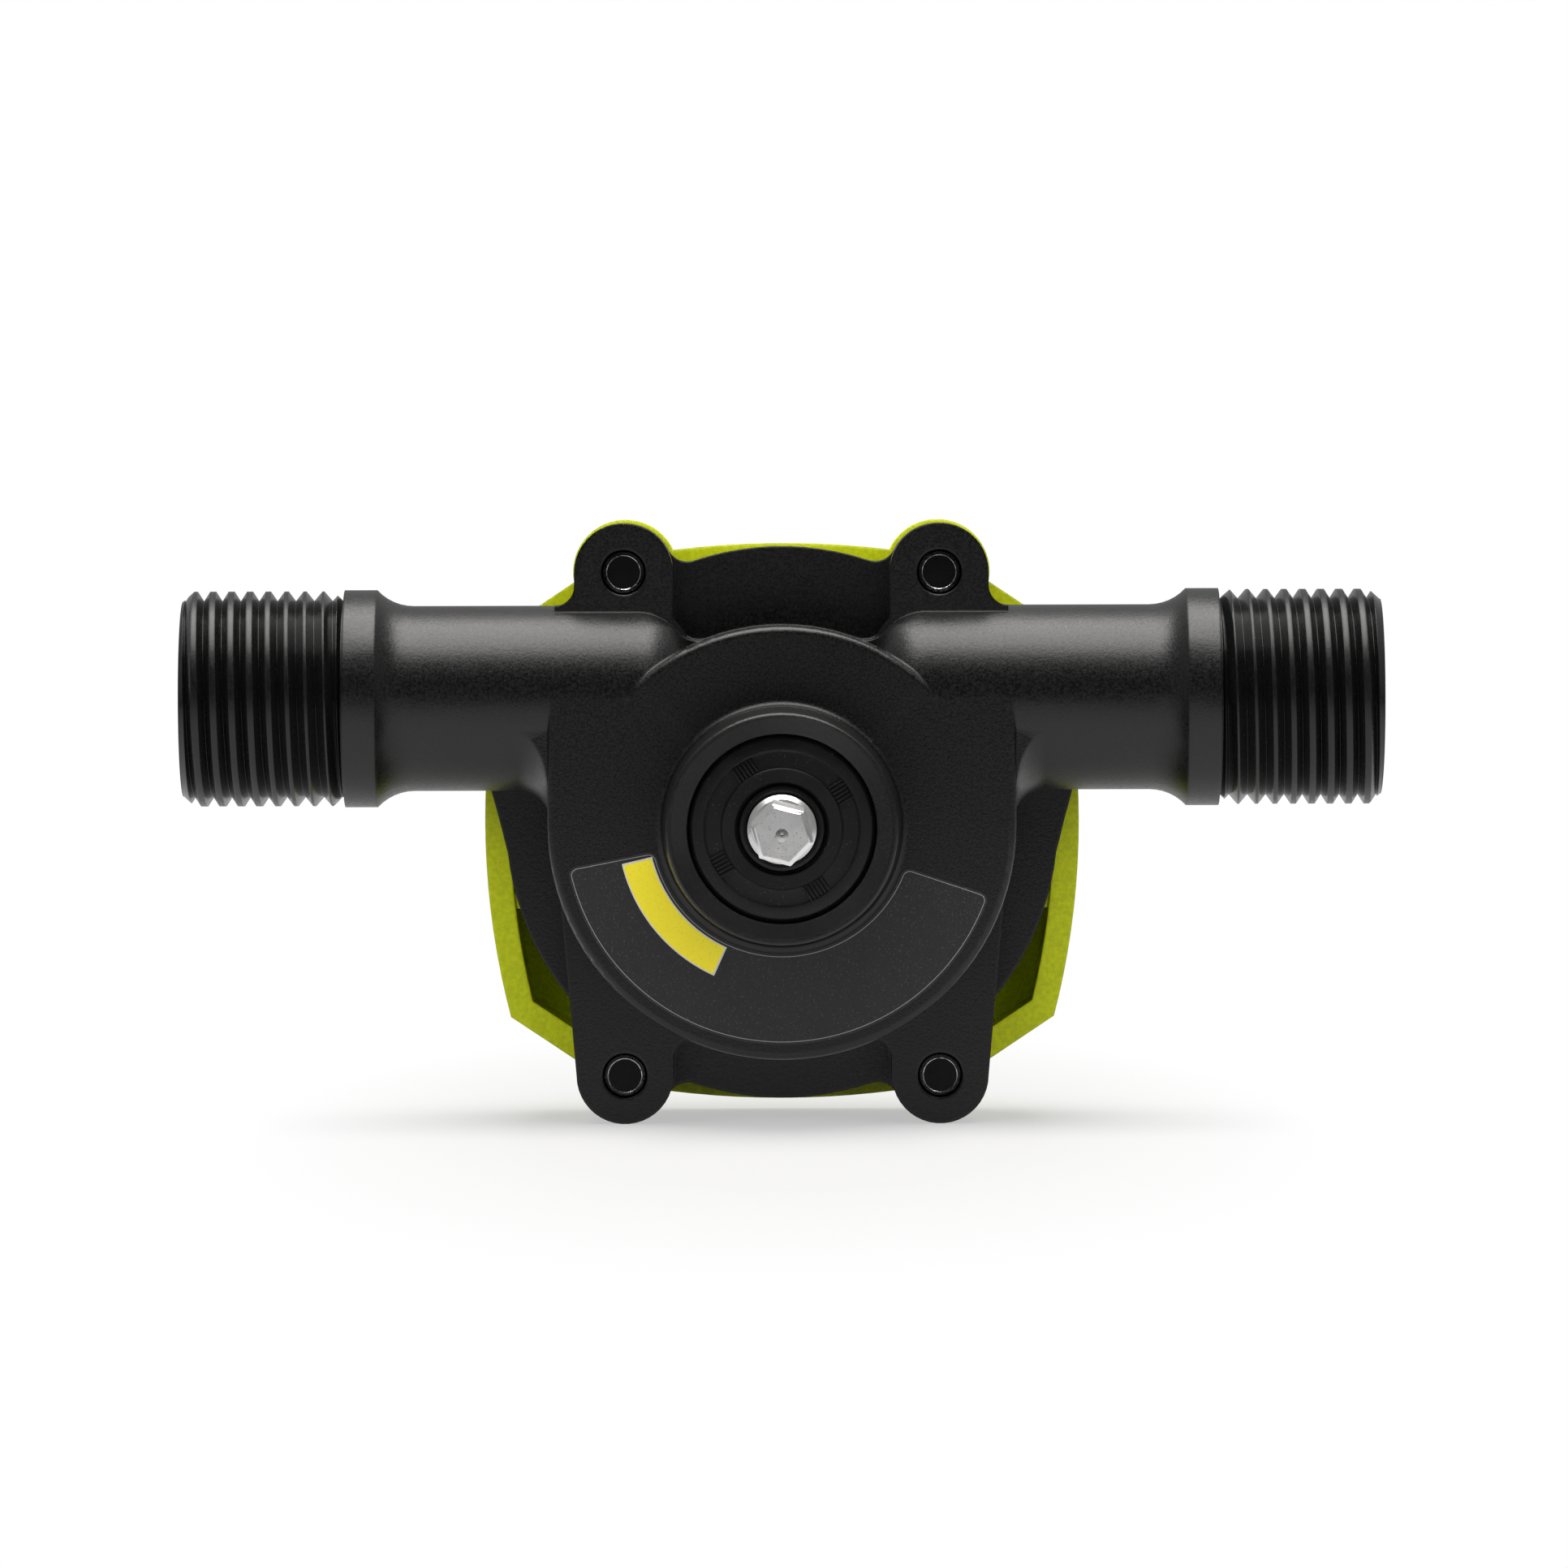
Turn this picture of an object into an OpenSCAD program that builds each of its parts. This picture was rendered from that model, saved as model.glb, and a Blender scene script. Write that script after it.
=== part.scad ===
// Drill powered transfer pump: a flexible impeller pump driven by the chuck of a hand drill.
// The shaft runs along Y and its hexagon points to -Y. The two hose ports lie along X.
// Depths are counted along +Y from the flat face of the drum, and radii from the shaft axis.

/* [Drum] */
// Radius of the lower half of the drum, about the shaft
drum_r = 27.4; // [26.5:0.1:29]
// Radius of the crown that closes the drum above the ports
crown_r = 25.3; // [24.6:0.1:26]
// How far the crown's centre lies below the shaft
crown_drop = 2; // [1.6:0.1:2.4]
// Rounding of the drum's front edge
drum_edge_r = 0.8; // [0.4:0.1:1]
// Wall of the drum round the pump chamber
drum_wall = 3.1; // [2.6:0.1:3.4]
// Wall between the drum's face and the pump chamber
face_wall = 3; // [2.6:0.1:3.4]

/* [Ports] */
// Width over the two port ends
overall_w = 141; // [132:1:160]
// Height of the port axis above the shaft
port_rise = 14.8; // [14.2:0.1:15.2]
// Outside diameter of the smooth tubes
tube_d = 21.8; // [21.2:0.1:22.4]
// Depth of the tubes' front line behind the drum's face
tube_set_back = 0.1; // [0.1:0.05:0.4]
// Bore of both ports
port_bore_d = 15.5; // [14:0.1:16]
// Distance from the centre plane to the rounded inner end of each tube
tube_end_x = 17; // [16:0.1:18]
// Edge radius of that rounded inner end
tube_end_r = 6.5; // [5:0.1:7]
// Outside diameter over the hose thread
thread_d = 25.4; // [24.8:0.1:26.4]
// Length of the hose thread
thread_len = 19.1; // [16:0.1:22]
// Chamfer at the start of the hose thread
thread_chamfer = 1.2; // [0.6:0.1:1.6]
// Depth of the relief between the thread and the collar
relief_depth = 1.2; // [0.8:0.1:1.3]
// Width of that relief
relief_w = 1.1; // [0.8:0.1:1.6]
// Outside diameter of the collar behind the thread
collar_d = 25.6; // [25.2:0.1:27]
// Width of the collar
collar_w = 3.8; // [3:0.1:5]
// Radius of the hollow flare between tube and collar
flare_r = 5.9; // [4:0.1:8]
// Radius of the hollow fillet between tube and drum side
root_r = 3.5; // [2:0.1:4.5]

/* [Flange and ears] */
// Radius of the round flange at the parting plane
flange_r = 32.66; // [32:0.1:33.4]
// Thickness of the flange
flange_t = 6; // [4:0.1:7]
// Half the distance between the screws, across
screw_x = 18.55; // [18.2:0.05:19]
// Half the distance between the screws, up and down
screw_z = 29.6; // [29.2:0.1:30]
// Radius of the two upper ears
ear_r = 5.8; // [5.4:0.1:6]
// Radius of the two lower ears, on which the pump stands
foot_ear_r = 5.7; // [5.4:0.1:6]
// Depth of the upper ears' faces behind the drum's face
ear_depth = 7; // [6:0.1:8]
// Depth of the lower ears' faces behind the drum's face
foot_ear_depth = 8; // [7.6:0.1:9]
// Reach of each leg's outer edge where it leaves the drum
leg_reach = 26.1; // [25.6:0.1:26.6]
// Fillet between the upper ears and the crown
ear_fillet_r = 3; // [2:0.1:3.4]
// Fillet between the upper ears and the tubes
shoulder_fillet_r = 2.3; // [1.5:0.1:3]
// Fillet between the lower ears and the drum
foot_fillet_r = 2.1; // [1.5:0.1:2.6]
// Fillet between the ears and the flange's rim
rim_fillet_r = 2.5; // [1.5:0.1:3]

/* [Neck] */
// Length of the neck in front of the drum's face
neck_len = 15; // [14.2:0.1:18]
// Radius of the neck at its root
neck_root_r = 14; // [13.8:0.1:14.4]
// Radius of the neck at its rim
neck_rim_r = 13.44; // [13.3:0.02:13.6]
// Hollow fillet at the neck's root
neck_fillet_r = 0.8; // [0.4:0.1:0.9]
// Width of the rounded rim
rim_w = 0.5; // [0.3:0.05:0.6]
// Depth of the step inside the rim
rim_step = 0.4; // [0.2:0.05:0.6]
// Length of the lead-in cone in front of the seal
lead_in = 0.7; // [0.4:0.05:0.9]

/* [Shaft] */
// Diameter of the shaft
shaft_d = 8; // [7.9:0.05:8]
// Gap between the lip seal and the front retaining ring
ring_gap = 0.2; // [0.1:0.05:0.3]
// Width across the flats of the hexagon
hex_af = 6.35; // [6:0.05:6.5]
// Length of the hexagon
hex_len = 22; // [18:0.5:30]
// Distance from the neck's rim to the shaft's tip
shaft_reach = 23.5; // [23.5:0.5:34]
// Turn of the hexagon at rest
hex_turn = 45.6; // [0:0.1:60]
// Chamfer at the tip and where the hexagon ends
shaft_chamfer = 0.5; // [0.3:0.05:0.6]
// Diameter of the cross pin that drives the impeller
pin_d = 2.5; // [2:0.1:2.8]
// Thickness of the two retaining rings
ring_t = 0.8; // [0.6:0.05:0.9]
// Depth of the retaining rings' grooves
ring_groove = 0.25; // [0.2:0.05:0.4]
// Width of the retaining rings, across their section
ring_w = 1.5; // [1.2:0.05:1.7]

/* [Bearing] */
// Outside diameter shared by the ball bearing and the lip seal
seat_d = 22; // [21.9:0.05:22.1]
// Width of the ball bearing
bearing_w = 7; // [6.8:0.1:7.2]
// Diameter of the balls
ball_d = 3.969; // [3.8:0.001:4]
// Diameter of the circle on which the balls run
ball_pcd = 15; // [14.9:0.05:15.1]
// Number of balls
ball_n = 7; // [6:1:7]
// Radius of the housing's opening behind the bearing
shoulder_r = 8; // [7.6:0.1:9]

/* [Lip seal] */
// Width of the lip seal
seal_w = 7; // [6.6:0.1:7]
// Recess of the seal behind the neck's rim
seal_recess = 1.5; // [1.3:0.1:1.8]
// Thickness of the rubber over the seal's steel case
seal_skin = 0.6; // [0.4:0.05:0.8]
// Thickness of the steel case
case_t = 0.6; // [0.4:0.05:0.8]
// Wire diameter of the seal's ring spring
spring_d = 1.2; // [1:0.05:1.4]

/* [Impeller] */
// Number of vanes
vane_n = 6; // [5:1:6]
// Thickness of a vane
vane_t = 2.2; // [1.6:0.1:2.6]
// Radius of the bead along each vane's tip
bead_r = 1.8; // [1.4:0.1:2]
// Radius of the impeller's rubber hub
hub_r = 9; // [8.8:0.1:9.6]
// Radius of the moulded insert inside the rubber
insert_r = 6.5; // [6.4:0.1:7]
// Gap from a free vane's bead to the chamber wall
vane_gap = 0.4; // [0.2:0.05:0.6]
// Side gap at each end of the impeller
side_gap = 0.2; // [0.1:0.05:0.3]

/* [End plate] */
// Radius of the steel end plate
plate_r = 28.9; // [28.6:0.1:29.4]
// Thickness of the steel end plate
plate_t = 1.5; // [1.2:0.1:1.8]
// Section diameter of the O-ring behind it
oring_d = 1.6; // [1.4:0.1:1.7]
// Depth of the O-ring's groove
groove_depth = 1.25; // [1:0.05:1.3]
// Width of the O-ring's groove
groove_w = 1.9; // [1.8:0.05:2.1]

/* [Front cover] */
// Depth of the cover from the parting plane to its front
cover_depth = 20; // [17:0.5:26]
// Depth of the cover's ears, from the parting plane to the screw heads
cover_ear_depth = 11.4; // [10:0.1:13]
// Wall of the cover
cover_wall = 3; // [2.4:0.1:3.4]
// Half the cover's width
cover_half_w = 35.3; // [35:0.1:36.4]
// Half the cover's height
cover_half_h = 33; // [32.9:0.1:33.8]
// Distance of the slanted sides from the shaft
cover_slant = 37.3; // [37:0.1:38]
// Angle of the slanted sides
slant_angle = 56.3; // [54:0.1:58]
// Radius of the bulged left and right sides
side_bulge_r = 92; // [80:1:120]
// Radius of the bulged top and bottom
top_bulge_r = 106; // [90:1:140]
// Radius of the cover's two upper ears
cover_ear_r = 6.2; // [5.9:0.1:6.4]
// Radius of the cover's screw posts inside the wall
post_r = 8; // [7.4:0.1:8.2]
// Thickness of the inner ribs
rib_t = 2; // [1.6:0.1:2.4]
// Distance of the inner ribs from the centre planes
rib_pos = 9.4; // [8.6:0.1:10]
// Recess of the ribs behind the parting plane
rib_relief = 0.5; // [0.3:0.1:1]
// Radius of the ring that presses on the end plate
press_ring_r = 28.4; // [28:0.1:28.5]
// Wall of that ring
press_ring_wall = 2.5; // [2:0.1:2.8]
// Radius of the cover's round front land
front_land_r = 29; // [26:0.1:31]

/* [Screws] */
// Outside diameter of the screws
screw_d = 4.9; // [4.7:0.05:5]
// Length of the screws under the head
screw_len = 25; // [24:0.5:25.2]
// Diameter of the screw heads
screw_head_d = 9.2; // [8.5:0.1:9.6]
// Height of the screw heads
screw_head_h = 3.2; // [2.6:0.1:3.6]
// Diameter of the mouth round each screw tip
screw_mouth_d = 5.3; // [5.2:0.05:5.6]
// Width across the flats of the screws' sockets
socket_af = 3; // [2.5:0.1:3.4]
// Depth of the screws' sockets
socket_depth = 1.8; // [1.2:0.1:2.2]

/* [Face label] */
// Inner radius of the label
label_in_r = 15; // [14.9:0.1:16]
// Outer radius of the label
label_out_r = 25.6; // [24:0.1:26]
// Thickness of the label
label_t = 0.12; // [0.08:0.02:0.2]
// Angle at which the label starts, on the left
label_start = 191; // [185:1:200]
// Angle that the label covers
label_sweep = 150.5; // [120:0.5:160]

/* [Fits] */
// Radial clearance of pieces that are pressed together
press_clear = 0.01; // [0.005:0.005:0.015]
// Radial clearance of pieces that turn or slide on each other
run_clear = 0.03; // [0.02:0.005:0.05]
// Clearance of the screws in the cover
screw_clear = 0.3; // [0.2:0.05:0.4]
// Overrun of every cut past the surface that it opens
over = 0.5; // [0.4:0.1:0.8]

/* [Hidden] */
$fn = 96;

tube_r = tube_d / 2;
port_bore_r = port_bore_d / 2;
collar_r = collar_d / 2;
thread_r = thread_d / 2;
port_depth = tube_r + tube_set_back;
parting = 2 * port_depth;
port_end = overall_w / 2;
collar_out = port_end - thread_len;
collar_in = collar_out - collar_w;
flare_rise = collar_r - tube_r;
flare_len = sqrt(pow(flare_r, 2) - pow(flare_r - flare_rise, 2));
flare_in = collar_in - flare_len;

chamber_r = drum_r - drum_wall;
cam_r = crown_r - drum_wall;
plate_front = parting - plate_t;
oring_r = (chamber_r + plate_r) / 2;
bore_in_x = chamber_r * sqrt(1 - pow(port_rise / chamber_r, 2)) - over;

rim_y = -neck_len;
seal_front = rim_y + seal_recess;
seal_back = seal_front + seal_w;
bearing_front = seal_back + ring_t + ring_gap;
bearing_back = bearing_front + bearing_w;
seat_r = seat_d / 2;
shaft_r = shaft_d / 2;
tip_y = rim_y - shaft_reach;
hex_end = tip_y + hex_len;
hex_r = hex_af / 2 / cos(30);

ball_r = ball_d / 2;
ball_circle_r = ball_pcd / 2;
race_r = ball_r + run_clear * 2;
bearing_mid = (bearing_front + bearing_back) / 2;
land_gap = ball_r * 0.8;
outer_land_r = ball_circle_r + land_gap;
inner_land_r = ball_circle_r - land_gap;
shield_t = bearing_w / 10;
shield_inset = bearing_w / 35;
shield_out_r = outer_land_r + shield_inset;
cage_web = bearing_w / 22;
cage_half_w = ball_r + cage_web;
cage_band = ball_r * 0.7;
rivet_r = ball_r / 5;

hub_front = face_wall + side_gap;
hub_back = plate_front - side_gap;
pin_y = hub_front + pin_d / 2 + press_clear;
pin_len = 2 * insert_r - pin_d / 2;

vane_root_r = hub_r - vane_t / 2;
vane_reach = chamber_r - vane_gap - bead_r;
cam_reach = cam_r - crown_drop - vane_gap / 2 - bead_r;
free_bend = 15;
most_bend = 150;
bend_steps = 20;

cover_front = parting + cover_depth;
cover_ear_top = parting + cover_ear_depth;
head_clear_r = screw_head_d / 2 + screw_clear * 2;
screw_tip = cover_ear_top - screw_len;

axis_height = screw_z + foot_ear_r;
middle_y = (tip_y + cover_front) / 2;
span = 3 * (cover_half_w + overall_w);

black = "#1c1d1f";
lime = "#9db81a";
steel = "#b9bcc0";
dark_steel = "#2b2c2e";
rubber = "#202124";

// The frame in which the pump stands: its lowest line on the ground, its box centred.
module stand() {
    translate([0, -middle_y, axis_height]) children();
}

// A flat outline, drawn as seen from the drill's side, between two depths.
module slab(from, to) {
    translate([0, to, 0]) rotate([90, 0, 0]) linear_extrude(height = to - from) children();
}

// A profile of radius and depth, turned about the shaft.
module about_shaft() {
    rotate([-90, 0, 0]) rotate_extrude() children();
}

// A plain ring about the shaft.
module ring(inner, outer, from, to) {
    about_shaft() translate([inner, from]) square([outer - inner, to - from]);
}

// A rod along the shaft's direction.
module rod(r, from, to) {
    translate([0, from, 0]) rotate([-90, 0, 0]) cylinder(r = r, h = to - from);
}

// Both ports, each turned about the port axis from a profile of radius and reach.
module about_ports() {
    for (side = [0, 1]) mirror([side, 0, 0])
        translate([0, port_depth, port_rise]) rotate([0, 90, 0]) rotate_extrude() children();
}

module both_sides() {
    for (side = [0, 1]) mirror([side, 0, 0]) children();
}

module at_upper_screws() {
    both_sides() translate([screw_x, screw_z]) children();
}

module at_lower_screws() {
    both_sides() translate([screw_x, -screw_z]) children();
}

module half_plane_above(z) {
    translate([-span / 2, z]) square([span, span]);
}

module half_plane_below(z) {
    translate([-span / 2, z - span]) square([span, span]);
}

// The web in the hollow corner between two circles, given their centres and radii.
// reach is the distance between the centres and turn says on which side the corner lies.
module circle_web(a, ra, b, rb, fillet, turn) {
    reach = norm(b - a);
    da = ra + fillet;
    db = rb + fillet;
    along = (pow(da, 2) - pow(db, 2) + pow(reach, 2)) / (2 * reach);
    off = turn * sqrt(pow(da, 2) - pow(along, 2));
    u = (b - a) / reach;
    c = a + along * u + off * [-u[1], u[0]];
    difference() {
        polygon([a, b, c]);
        translate(c) circle(r = fillet);
    }
}

// Half the drum's section, up to a reach, with its rounded front edge.
module drum_section(reach) {
    edge_x = reach - drum_edge_r;
    square([edge_x, parting]);
    translate([0, drum_edge_r]) square([reach, parting - drum_edge_r]);
    translate([edge_x, drum_edge_r]) circle(r = drum_edge_r);
}

// The drum: a half disc, straight sides up to the ports and the flatter crown.
module drum() {
    intersection() {
        about_shaft() drum_section(drum_r);
        slab(-over, parting + over) half_plane_below(0);
    }
    both_sides() linear_extrude(height = port_rise) drum_section(drum_r);
    intersection() {
        translate([0, 0, -crown_drop]) about_shaft() drum_section(crown_r);
        slab(-over, parting + over) half_plane_above(0);
    }
}

// The pump chamber: the full circle below the ports and the flatter cam above them.
module chamber_outline() {
    translate([0, -crown_drop]) circle(r = cam_r);
    intersection() {
        circle(r = chamber_r);
        half_plane_below(port_rise);
    }
}

// Upper ears, with their inner fillet down to the crown and the outer one to the tube.
module upper_ears() {
    inner = screw_x - ear_r;
    outer = screw_x + ear_r;
    tube_top = port_rise + tube_r;
    fillet_x = inner - ear_fillet_r;
    fillet_z = -crown_drop + sqrt(pow(crown_r + ear_fillet_r, 2) - pow(fillet_x, 2));
    at_upper_screws() circle(r = ear_r);
    both_sides() {
        translate([inner, port_rise]) square([2 * ear_r, screw_z - port_rise]);
        difference() {
            polygon([[0, -crown_drop], [inner, port_rise], [inner, fillet_z], [fillet_x, fillet_z]]);
            translate([fillet_x, fillet_z]) circle(r = ear_fillet_r);
        }
        difference() {
            translate([outer, port_rise])
                square([shoulder_fillet_r, tube_r + shoulder_fillet_r]);
            translate([outer + shoulder_fillet_r, tube_top + shoulder_fillet_r])
                circle(r = shoulder_fillet_r);
        }
    }
}

// Lower ears and the legs that join them to the drum.
module lower_ears() {
    inner = screw_x - foot_ear_r;
    outer = screw_x + foot_ear_r;
    fillet_x = inner - foot_fillet_r;
    fillet_z = -sqrt(pow(drum_r + foot_fillet_r, 2) - pow(fillet_x, 2));
    leg_top = -sqrt(pow(drum_r, 2) - pow(leg_reach, 2));
    at_lower_screws() circle(r = foot_ear_r);
    both_sides() {
        polygon([[leg_reach, leg_top], [outer, -screw_z], [inner, -screw_z], [inner, leg_top]]);
        difference() {
            polygon([[0, 0], [inner, leg_top], [inner, fillet_z], [fillet_x, fillet_z]]);
            translate([fillet_x, fillet_z]) circle(r = foot_fillet_r);
        }
    }
}

// The flange: a disc, the webs that widen it under the tubes and the fillets at the ears.
module flange_outline() {
    web_low = -tube_set_back - root_r;
    web_top = port_rise - tube_r;
    web_reach = flange_r + root_r / 2;
    circle(r = flange_r);
    both_sides() {
        polygon([[crown_r, web_low], [flange_r * cos(asin(web_low / flange_r)), web_low],
            [flange_r + root_r / 5, 0], [web_reach, web_top], [web_reach, port_rise],
            [crown_r, port_rise]]);
        circle_web([0, 0], flange_r, [screw_x, screw_z], ear_r, rim_fillet_r, 1);
        circle_web([0, 0], flange_r, [screw_x, -screw_z], foot_ear_r, rim_fillet_r, -1);
    }
}

// One port from its rounded inner end to the start of its thread.
module port_profile() {
    relief_r = thread_r - relief_depth;
    translate([0, tube_end_x]) square([tube_r, port_end - thread_len - tube_end_x]);
    translate([0, tube_end_x - tube_end_r]) square([tube_r - tube_end_r, tube_end_r]);
    intersection() {
        translate([tube_r - tube_end_r, tube_end_x]) circle(r = tube_end_r);
        translate([0, tube_end_x - tube_end_r]) square([tube_r, tube_end_r]);
    }
    translate([0, collar_in]) square([collar_r, collar_w]);
    difference() {
        translate([0, flare_in]) square([collar_r, flare_len]);
        translate([tube_r + flare_r, flare_in]) circle(r = flare_r);
    }
    polygon([[0, collar_out], [relief_r, collar_out], [relief_r, collar_out + relief_w],
        [thread_r, collar_out + relief_w], [thread_r, port_end - thread_chamfer],
        [thread_r - thread_chamfer, port_end], [0, port_end]]);
}

// The hollow fillet between the tube and the drum's straight side.
module root_profile() {
    difference() {
        translate([0, drum_r - root_r]) square([tube_r + root_r, 2 * root_r]);
        translate([tube_r + root_r, drum_r + root_r]) circle(r = root_r);
    }
}

module neck_profile() {
    polygon([[0, 0], [neck_root_r, 0], [neck_rim_r, rim_y + rim_w / 2],
        [neck_rim_r - rim_w / 2, rim_y], [0, rim_y]]);
    difference() {
        translate([0, -neck_fillet_r]) square([neck_root_r + neck_fillet_r, neck_fillet_r]);
        translate([neck_root_r + neck_fillet_r, -neck_fillet_r]) circle(r = neck_fillet_r);
    }
}

// Everything that is bored along the shaft: rim step, lead-in cone, seat and shoulder.
module neck_bore_profile() {
    step_r = neck_rim_r - rim_w;
    cone_back = rim_y + rim_step + lead_in;
    polygon([[0, rim_y - over], [step_r, rim_y - over], [step_r, rim_y + rim_step],
        [seat_r, cone_back], [seat_r, bearing_back], [shoulder_r, bearing_back],
        [shoulder_r, face_wall + over], [0, face_wall + over]]);
}

// Moulded housing with drum, neck, ports, ears and flange in one piece.
module pump_housing() {
    color(black) stand() difference() {
        union() {
            drum();
            slab(ear_depth, parting) upper_ears();
            slab(foot_ear_depth, parting) lower_ears();
            slab(parting - flange_t, parting) flange_outline();
            about_ports() port_profile();
            intersection() {
                about_ports() root_profile();
                slab(drum_edge_r, parting) half_plane_below(port_rise);
            }
            about_shaft() neck_profile();
        }
        about_shaft() neck_bore_profile();
        slab(face_wall, parting) chamber_outline();
        rod(plate_r + press_clear * 5, plate_front, parting + over);
        ring(oring_r - groove_w / 2, oring_r + groove_w / 2, plate_front - groove_depth, plate_front + over);
        both_sides() translate([bore_in_x, port_depth, port_rise]) rotate([0, 90, 0])
            cylinder(r = port_bore_r, h = port_end + over - bore_in_x);
        screw_holes(screw_d / 2 + press_clear, screw_tip - 2 * over, parting + over);
        screw_holes(screw_mouth_d / 2, 0, screw_tip + over * 2);
    }
}

module screw_holes(r, from, to) {
    slab(from, to) {
        at_upper_screws() circle(r = r);
        at_lower_screws() circle(r = r);
    }
}

// Eight-sided outline of the cover with slightly bulged sides.
module cover_octagon(inset) {
    slant = 2 * (cover_slant - inset);
    intersection() {
        both_bulges(side_bulge_r - inset, side_bulge_r - cover_half_w);
        rotate(90) both_bulges(top_bulge_r - inset, top_bulge_r - cover_half_h);
        rotate(slant_angle) square([slant, span], center = true);
        rotate(-slant_angle) square([slant, span], center = true);
    }
}

module both_bulges(r, shift) {
    intersection() {
        translate([shift, 0]) circle(r = r);
        translate([-shift, 0]) circle(r = r);
    }
}

// The cover's body tapers to its round front land. shrink moves the taper inwards.
module cover_taper(shrink) {
    reach = cover_half_w + ear_r;
    slope = reach - front_land_r;
    about_shaft() polygon([[0, parting - over], [reach - shrink, parting - over],
        [reach - shrink, cover_front - slope], [front_land_r - shrink, cover_front],
        [0, cover_front]]);
}

// Green front cover: outer wall, floor, ring on the end plate, ribs and screw posts.
module front_cover() {
    inner_floor = cover_front - cover_wall;
    color(lime) stand() difference() {
        union() {
            intersection() {
                slab(parting, cover_front) cover_octagon(0);
                cover_taper(0);
            }
            slab(parting, cover_ear_top) {
                at_upper_screws() circle(r = cover_ear_r);
                at_lower_screws() circle(r = foot_ear_r);
            }
        }
        difference() {
            intersection() {
                slab(parting - over, inner_floor) cover_octagon(cover_wall);
                cover_taper(cover_wall);
            }
            ring(press_ring_r - press_ring_wall, press_ring_r, parting - 2 * over, cover_front);
            slab(parting - 2 * over, cover_front) {
                at_upper_screws() circle(r = post_r);
                at_lower_screws() circle(r = post_r);
            }
            slab(parting + rib_relief, cover_front) ribs();
        }
        screw_holes(screw_d / 2 + screw_clear, parting - over, cover_ear_top + over);
        screw_holes(head_clear_r, cover_ear_top, cover_front + over);
    }
}

module ribs() {
    for (side = [-1, 1]) {
        translate([-cover_half_w, side * rib_pos - rib_t / 2]) square([2 * cover_half_w, rib_t]);
        translate([side * rib_pos - rib_t / 2, -cover_half_h]) square([rib_t, 2 * cover_half_h]);
    }
}

// Four socket screws that enter from the front and end in the housing's ears.
module cover_screws() {
    color(dark_steel) stand() for (x = [-screw_x, screw_x], z = [-screw_z, screw_z])
        translate([x, 0, z]) screw();
}

module screw() {
    r = screw_d / 2;
    chamfer = r / 8;
    dome = screw_head_h / 4;
    head_r = screw_head_d / 2;
    head_top = cover_ear_top + screw_head_h;
    difference() {
        about_shaft() polygon([[0, screw_tip], [r - chamfer, screw_tip], [r, screw_tip + chamfer],
            [r, cover_ear_top], [head_r, cover_ear_top], [head_r, head_top - dome],
            [head_r - dome, head_top], [0, head_top]]);
        translate([0, head_top - socket_depth, 0]) rotate([-90, 0, 0])
            cylinder(r = socket_af / 2 / cos(30), h = socket_depth + over, $fn = 6);
    }
}

// Rubber ring, squeezed flat between its groove and the end plate.
module cover_oring() {
    squeeze = groove_depth - 2 * press_clear;
    color(rubber) stand() about_shaft() intersection() {
        translate([oring_r, plate_front - groove_depth / 2]) circle(d = oring_d);
        translate([oring_r - oring_d, plate_front - groove_depth + press_clear])
            square([2 * oring_d, squeeze]);
    }
}

// Stainless plate on which the impeller's rear ends run.
module end_plate() {
    color(steel) stand() rod(plate_r, plate_front + press_clear, parting - press_clear);
}

// Where a vane's bead lies when the vane bends by an angle, and how far out that is.
function vane_curve(bend) = (vane_reach - vane_root_r) / (bend * PI / 180);
function bead_place(bend) = let (c = vane_curve(bend))
    [vane_root_r + c * sin(bend), c * (1 - cos(bend))];
function bend_to_reach(reach, low, high, steps) = let (mid = (low + high) / 2)
    steps == 0 ? mid
    : norm(bead_place(mid)) > reach ? bend_to_reach(reach, mid, high, steps - 1)
    : bend_to_reach(reach, low, mid, steps - 1);

// A vane bends away from the way it turns: a little by itself, and far under the cam.
module vane(bend) {
    c = vane_curve(bend);
    far = 2 * c;
    difference() {
        translate([vane_root_r, c]) circle(r = c + vane_t / 2);
        translate([vane_root_r, c]) circle(r = c - vane_t / 2);
        translate([vane_root_r - 2 * far, -far]) square([2 * far, 2 * far + c]);
        translate([vane_root_r, c]) rotate(bend) translate([0, -2 * far]) square([2 * far, 4 * far]);
    }
    translate(bead_place(bend)) circle(r = bead_r);
}

// Flexible impeller: a rubber hub and its vanes, two of them folded under the cam.
module impeller() {
    cam_bend = bend_to_reach(cam_reach, free_bend, most_bend, bend_steps);
    pitch = 360 / vane_n;
    color(rubber) stand() slab(hub_front, hub_back) difference() {
        union() {
            circle(r = hub_r);
            for (k = [0:vane_n - 1]) {
                angle = k * pitch;
                rotate(angle) vane(sin(angle) > sin(pitch / 2) ? cam_bend : free_bend);
            }
        }
        circle(r = insert_r + press_clear);
    }
}

// Moulded insert that carries the rubber and takes the drive pin in its slot.
module impeller_insert() {
    slot_w = pin_d + 2 * run_clear;
    color("#d8d4c6") stand() difference() {
        ring(shaft_r + run_clear, insert_r, hub_front, hub_back);
        translate([-insert_r, hub_front - over, -slot_w / 2])
            cube([2 * insert_r, over + slot_w, slot_w]);
    }
}

// Steel cross pin through the shaft.
module drive_pin() {
    color(steel) stand() translate([-pin_len / 2, pin_y, 0]) rotate([0, 90, 0])
        cylinder(d = pin_d, h = pin_len);
}

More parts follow.
